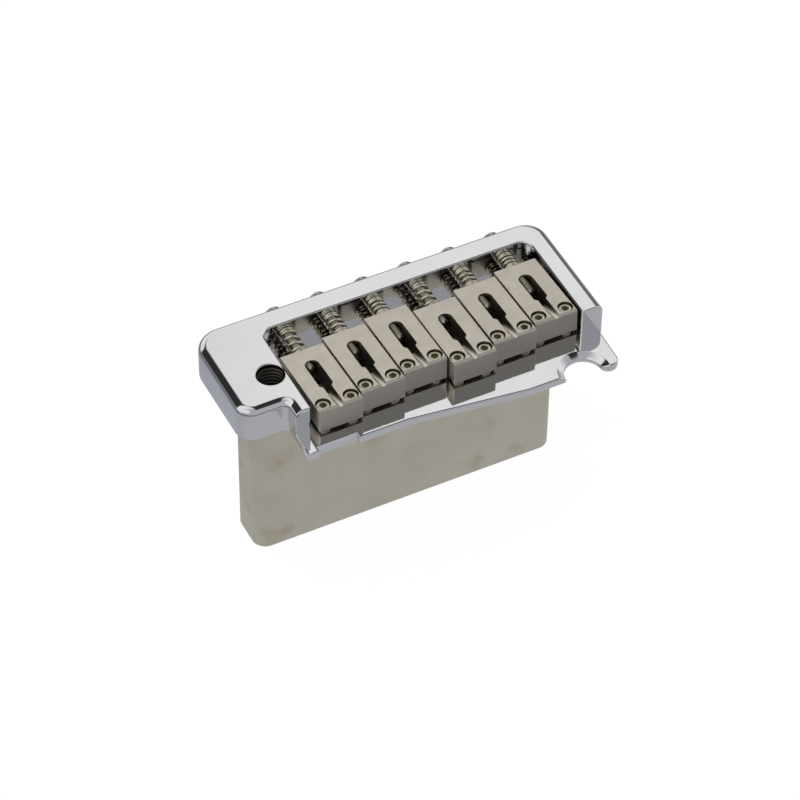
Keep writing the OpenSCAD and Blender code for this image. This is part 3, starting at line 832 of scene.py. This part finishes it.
# The arm hole's thread, in the near-black metal of its painted shade
arm_thread = wound(hole_painted_shade, smooth=False, radius=ARM_HOLE_R + 0.02 * MM, length=ARM_THREAD_LENGTH,
                   turns=ARM_THREAD_LENGTH / ARM_THREAD, wire_radius=0.3 * MM, wire_sides=THREAD_SIDES,
                   closed_ends=0.0, steps=40)
arm_thread_foot = FRAME_HIGH.z - ARM_THREAD_DEPTH - ARM_THREAD_LENGTH
arm_thread.transform(Matrix.Translation((ARM.x, ARM.y, arm_thread_foot)))
finished("arm_hole_thread", arm_thread, "bridge", "chrome", hole_painted_shade)


# ---------------------------------------------------------------- studio
def stage_sheet(name, corners, material):
    """Flat sheet of the studio through its corners."""
    mesh = bpy.data.meshes.new(name)
    mesh.from_pydata(corners, [], [tuple(range(len(corners)))])
    sheet = bpy.data.objects.new(name, mesh)
    scene.collection.objects.link(sheet)
    mesh.materials.append(material)
    return sheet


def level_sheet(name, size, height, material):
    """Square sheet about the origin; the size is from its middle to its sides."""
    corners = [(x * size, y * size, height) for x, y in ((-1, -1), (1, -1), (1, 1), (-1, 1))]
    return stage_sheet(name, corners, material)


def table_material(centre, stops):
    """Glowing card that only reflections see, a painted reflection of a lit table; its glow changes with the
    distance from a point on it.
    """
    material, tree, principled = shader("table_card")
    tree.nodes.remove(principled)
    place = add(tree, "ShaderNodeTexCoord").outputs["Object"]
    reach = stops[-1][0]
    distance = vector_maths(tree, "DISTANCE", place, centre).outputs["Value"]
    share = maths(tree, "DIVIDE", distance, reach)
    colour = ramp(tree, share, [(far / reach, tone) for far, tone in stops])
    glow = add(tree, "ShaderNodeEmission")
    tree.links.new(colour, glow.inputs["Color"])
    tree.links.new(glow.outputs[0], tree.nodes["Material Output"].inputs["Surface"])
    return material


FLOOR_GLOW = 0.95
FLOOR_PAINT = 0.10


def floor_material():
    """Pale floor: white to the camera and in reflections, with the object's soft shadow on it."""
    material, tree, principled = shader("floor")
    tree.nodes.remove(principled)
    path = add(tree, "ShaderNodeLightPath").outputs
    seen = maths(tree, "ADD", path["Is Camera Ray"], path["Is Glossy Ray"])
    seen = maths(tree, "ADD", seen, path["Is Transmission Ray"], clamp=True)
    glow = add(tree, "ShaderNodeEmission")
    tree.links.new(maths(tree, "MULTIPLY", seen, FLOOR_GLOW), glow.inputs["Strength"])
    paint = add(tree, "ShaderNodeBsdfDiffuse")
    paint.inputs["Color"].default_value = (FLOOR_PAINT, FLOOR_PAINT, FLOOR_PAINT, 1)
    both = fed(tree, add(tree, "ShaderNodeAddShader"), glow.outputs[0], paint.outputs[0])
    tree.links.new(both.outputs[0], tree.nodes["Material Output"].inputs["Surface"])
    return material


FLOOR_SIZE = 6.0
FLOOR_Z = -0.1 * MM
TABLE_SIZE = 5.5
TABLE_Z = -0.05 * MM
# The table's tone, a painted pool of light on a glowing card, by the distance from a point ahead of the
# bridge: bright and neutral near it, dark far off
TABLE_LIT = Vector((20, -60, 0)) * MM
TABLE_GLOW_TONES = (
    (105 * MM, (0.50, 0.51, 0.54)),
    (135 * MM, (0.42, 0.435, 0.485)),
    (180 * MM, (0.30, 0.31, 0.35)),
    (600 * MM, (0.06, 0.06, 0.065)),
)
level_sheet("floor", FLOOR_SIZE, FLOOR_Z, floor_material())
table = level_sheet("table_card", TABLE_SIZE, TABLE_Z, table_material(TABLE_LIT, TABLE_GLOW_TONES))
table.visible_camera = False
table.visible_shadow = False
table.visible_diffuse = False

# Patches of the studio's sky: direction, half-width and softness in degrees, colour, and the band that the
# patch is narrowed to, by its axis and the middle and half-width of the direction's part along it
SKY_PATCHES = (
    (Vector((0.0, -1.0, 0.25)), 75, 15, (0.51, 0.52, 0.56), None),
    (Vector((-0.66, -0.36, 0.66)), 20, 6, (1.0, 1.0, 1.0), None),
    (Vector((0.318, 0.0, 0.948)), 30, 6, (0.035, 0.035, 0.037), (Vector((1, 0, 0)), 0.318, 0.19)),
    (Vector((-0.47, 0.617, 0.63)), 38, 8, (0.035, 0.035, 0.037), (Vector((0, 1, 0)), 0.617, 0.15)),
    (Vector((0.70, 0.617, 0.34)), 17, 9, (0.15, 0.15, 0.155), None),
)
BAND_SOFT = 0.05


def sky_patch(tree, place, direction, width, soft, band):
    """1 in a round patch of the sky, 0 outside it."""
    facing = vector_maths(tree, "DOT_PRODUCT", place, direction.normalized()).outputs["Value"]
    patch = eased(tree, facing, math.cos(math.radians(width + soft)), math.cos(math.radians(width - soft)))
    if band is None:
        return patch
    axis, middle, half = band
    along = vector_maths(tree, "DOT_PRODUCT", place, axis).outputs["Value"]
    distance = maths(tree, "ABSOLUTE", maths(tree, "SUBTRACT", along, middle))
    inside = eased(tree, distance, half - BAND_SOFT, half + BAND_SOFT, first=1.0, last=0.0)
    return maths(tree, "MULTIPLY", patch, inside)


def studio_world():
    """White sky with a dim front and dark patches, which the chrome's rounded edges reflect."""
    world = bpy.data.worlds.new("studio")
    scene.world = world
    world.use_nodes = True
    tree = world.node_tree
    background = tree.nodes["Background"]
    place = add(tree, "ShaderNodeTexCoord").outputs["Generated"]
    sky = (1.0, 1.0, 1.0)
    for direction, width, soft, colour, band in SKY_PATCHES:
        sky = mixed(tree, sky_patch(tree, place, direction, width, soft, band), sky, colour)
    path = add(tree, "ShaderNodeLightPath")
    shown = mixed(tree, path.outputs["Is Camera Ray"], sky, (1.0, 1.0, 1.0))
    tree.links.new(shown, background.inputs["Color"])


studio_world()
scene.view_settings.view_transform = "Standard"

# ---------------------------------------------------------------- camera
EYE = Vector((-265.750991, -506.126749, 614.599698)) * MM
RIGHT = Vector((0.89339324, -0.44915884, 0.01023969))
UP = Vector((0.31695153, 0.64625385, 0.69418851))
BACK = Vector((-0.31841835, -0.61693783, 0.71972041))
SENSOR_WIDTH = 36
LENS = 165.65
CLIP = (0.05, 20)
camera = bpy.data.objects.new("camera", bpy.data.cameras.new("camera"))
scene.collection.objects.link(camera)
camera.matrix_world = Matrix.Translation(EYE) @ Matrix((RIGHT, UP, BACK)).transposed().to_4x4()
camera.data.sensor_width = SENSOR_WIDTH
camera.data.lens = LENS
camera.data.clip_start, camera.data.clip_end = CLIP
scene.camera = camera
